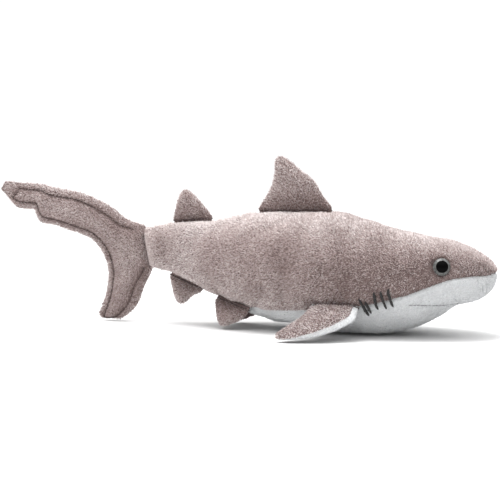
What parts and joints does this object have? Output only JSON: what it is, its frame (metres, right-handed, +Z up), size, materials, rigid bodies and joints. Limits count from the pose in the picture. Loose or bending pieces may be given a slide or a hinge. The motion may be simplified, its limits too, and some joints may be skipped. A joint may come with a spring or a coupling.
{
  "type": "plush shark",
  "caption": "Stuffed plush shark with a grey back and sides, a pale belly, eight sewn fins that fold about their root seams, domed safety eyes, and stitched gills and mouth.",
  "frame": {"origin": "centre of the bounding box in plan, on the surface that the shark rests on", "axes": "+X towards the nose, +Y towards the shark's left, +Z up"},
  "size_m": [0.38, 0.1448, 0.1229],
  "materials": {
    "plush_grey": "dense short-pile plush",
    "plush_white": "dense short-pile plush",
    "fibrefill": "loose polyester fibre",
    "eye_grey": "polished",
    "eye_black": "polished",
    "washer_plastic": "moulded",
    "thread_black": "twisted polyester thread",
    "thread_grey": "twisted polyester thread",
    "thread_white": "twisted polyester thread"
  },
  "bodies": {
    "body": {"side_panel_right": "plush_grey", "side_panel_left": "plush_grey", "belly_panel": "plush_white", "body_fill": "fibrefill", "eye_right": "eye_grey", "eye_left": "eye_grey", "eye_pupil_right": "eye_black", "eye_pupil_left": "eye_black", "eye_washer_right": "washer_plastic", "eye_washer_left": "washer_plastic", "gill_stitches_right": "thread_black", "gill_stitches_left": "thread_black", "mouth_stitch": "thread_white", "closing_stitch": "thread_white", "first_dorsal_root_seam": "thread_grey", "second_dorsal_root_seam": "thread_grey", "anal_root_seam": "thread_grey", "pelvic_root_seam_right": "thread_grey", "pelvic_root_seam_left": "thread_grey", "pectoral_root_seam_right": "thread_grey", "pectoral_root_seam_left": "thread_grey", "tail_root_seam": "thread_grey"},
    "first_dorsal_fin": {"first_dorsal_panel_right": "plush_grey", "first_dorsal_panel_left": "plush_grey", "first_dorsal_fill": "fibrefill"},
    "second_dorsal_fin": {"second_dorsal_panel_right": "plush_grey", "second_dorsal_panel_left": "plush_grey", "second_dorsal_fill": "fibrefill"},
    "anal_fin": {"anal_panel_right": "plush_grey", "anal_panel_left": "plush_grey", "anal_fill": "fibrefill"},
    "pelvic_fin_right": {"pelvic_outer_panel_right": "plush_grey", "pelvic_inner_panel_right": "plush_grey", "pelvic_fill_right": "fibrefill"},
    "pelvic_fin_left": {"pelvic_outer_panel_left": "plush_grey", "pelvic_inner_panel_left": "plush_grey", "pelvic_fill_left": "fibrefill"},
    "pectoral_fin_right": {"pectoral_top_panel_right": "plush_grey", "pectoral_under_panel_right": "plush_white", "pectoral_fill_right": "fibrefill"},
    "pectoral_fin_left": {"pectoral_top_panel_left": "plush_grey", "pectoral_under_panel_left": "plush_white", "pectoral_fill_left": "fibrefill"},
    "tail_fin": {"tail_fin_panel_right": "plush_grey", "tail_fin_panel_left": "plush_grey", "tail_fin_fill": "fibrefill", "tail_fin_topstitch_right": "thread_grey", "tail_fin_topstitch_left": "thread_grey"}
  },
  "joints": [
    {"name": "first_dorsal_fold", "type": "hinge", "parent": "body", "child": "first_dorsal_fin", "pos_m": [0.04417, 0, 0.08514], "axis": [0.9997, 0, 0.023], "range_deg": [-45, 45], "stiffness_Nm_per_rad": 0.01},
    {"name": "second_dorsal_fold", "type": "hinge", "parent": "body", "child": "second_dorsal_fin", "pos_m": [-0.03402, 0, 0.07625], "axis": [0.9949, 0, 0.1009], "range_deg": [-45, 45], "stiffness_Nm_per_rad": 0.01},
    {"name": "anal_fold", "type": "hinge", "parent": "body", "child": "anal_fin", "pos_m": [-0.03887, 0, 0.03066], "axis": [0.9306, 0, -0.3661], "range_deg": [-40, 40], "stiffness_Nm_per_rad": 0.01},
    {"name": "pelvic_fold_right", "type": "hinge", "parent": "body", "child": "pelvic_fin_right", "pos_m": [0.00164, -0.01452, 0.01677], "axis": [-0.9106, 0.341, 0.2336], "range_deg": [-15, 45], "stiffness_Nm_per_rad": 0.01},
    {"name": "pelvic_fold_left", "type": "hinge", "parent": "body", "child": "pelvic_fin_left", "pos_m": [0.00164, 0.01452, 0.01677], "axis": [0.9106, 0.341, -0.2336], "range_deg": [-15, 45], "stiffness_Nm_per_rad": 0.01},
    {"name": "pectoral_flap_right", "type": "hinge", "parent": "body", "child": "pectoral_fin_right", "pos_m": [0.08505, -0.04043, 0.02106], "axis": [-0.9993, 0.0343, -0.013], "range_deg": [-20, 60], "stiffness_Nm_per_rad": 0.01},
    {"name": "pectoral_flap_left", "type": "hinge", "parent": "body", "child": "pectoral_fin_left", "pos_m": [0.08505, 0.04043, 0.02106], "axis": [0.9993, 0.0343, 0.013], "range_deg": [-20, 60], "stiffness_Nm_per_rad": 0.01},
    {"name": "tail_swing", "type": "hinge", "parent": "body", "child": "tail_fin", "pos_m": [-0.07149, 0, 0.05469], "axis": [-0.1772, 0, 0.9842], "range_deg": [-45, 45], "stiffness_Nm_per_rad": 0.01}
  ]
}
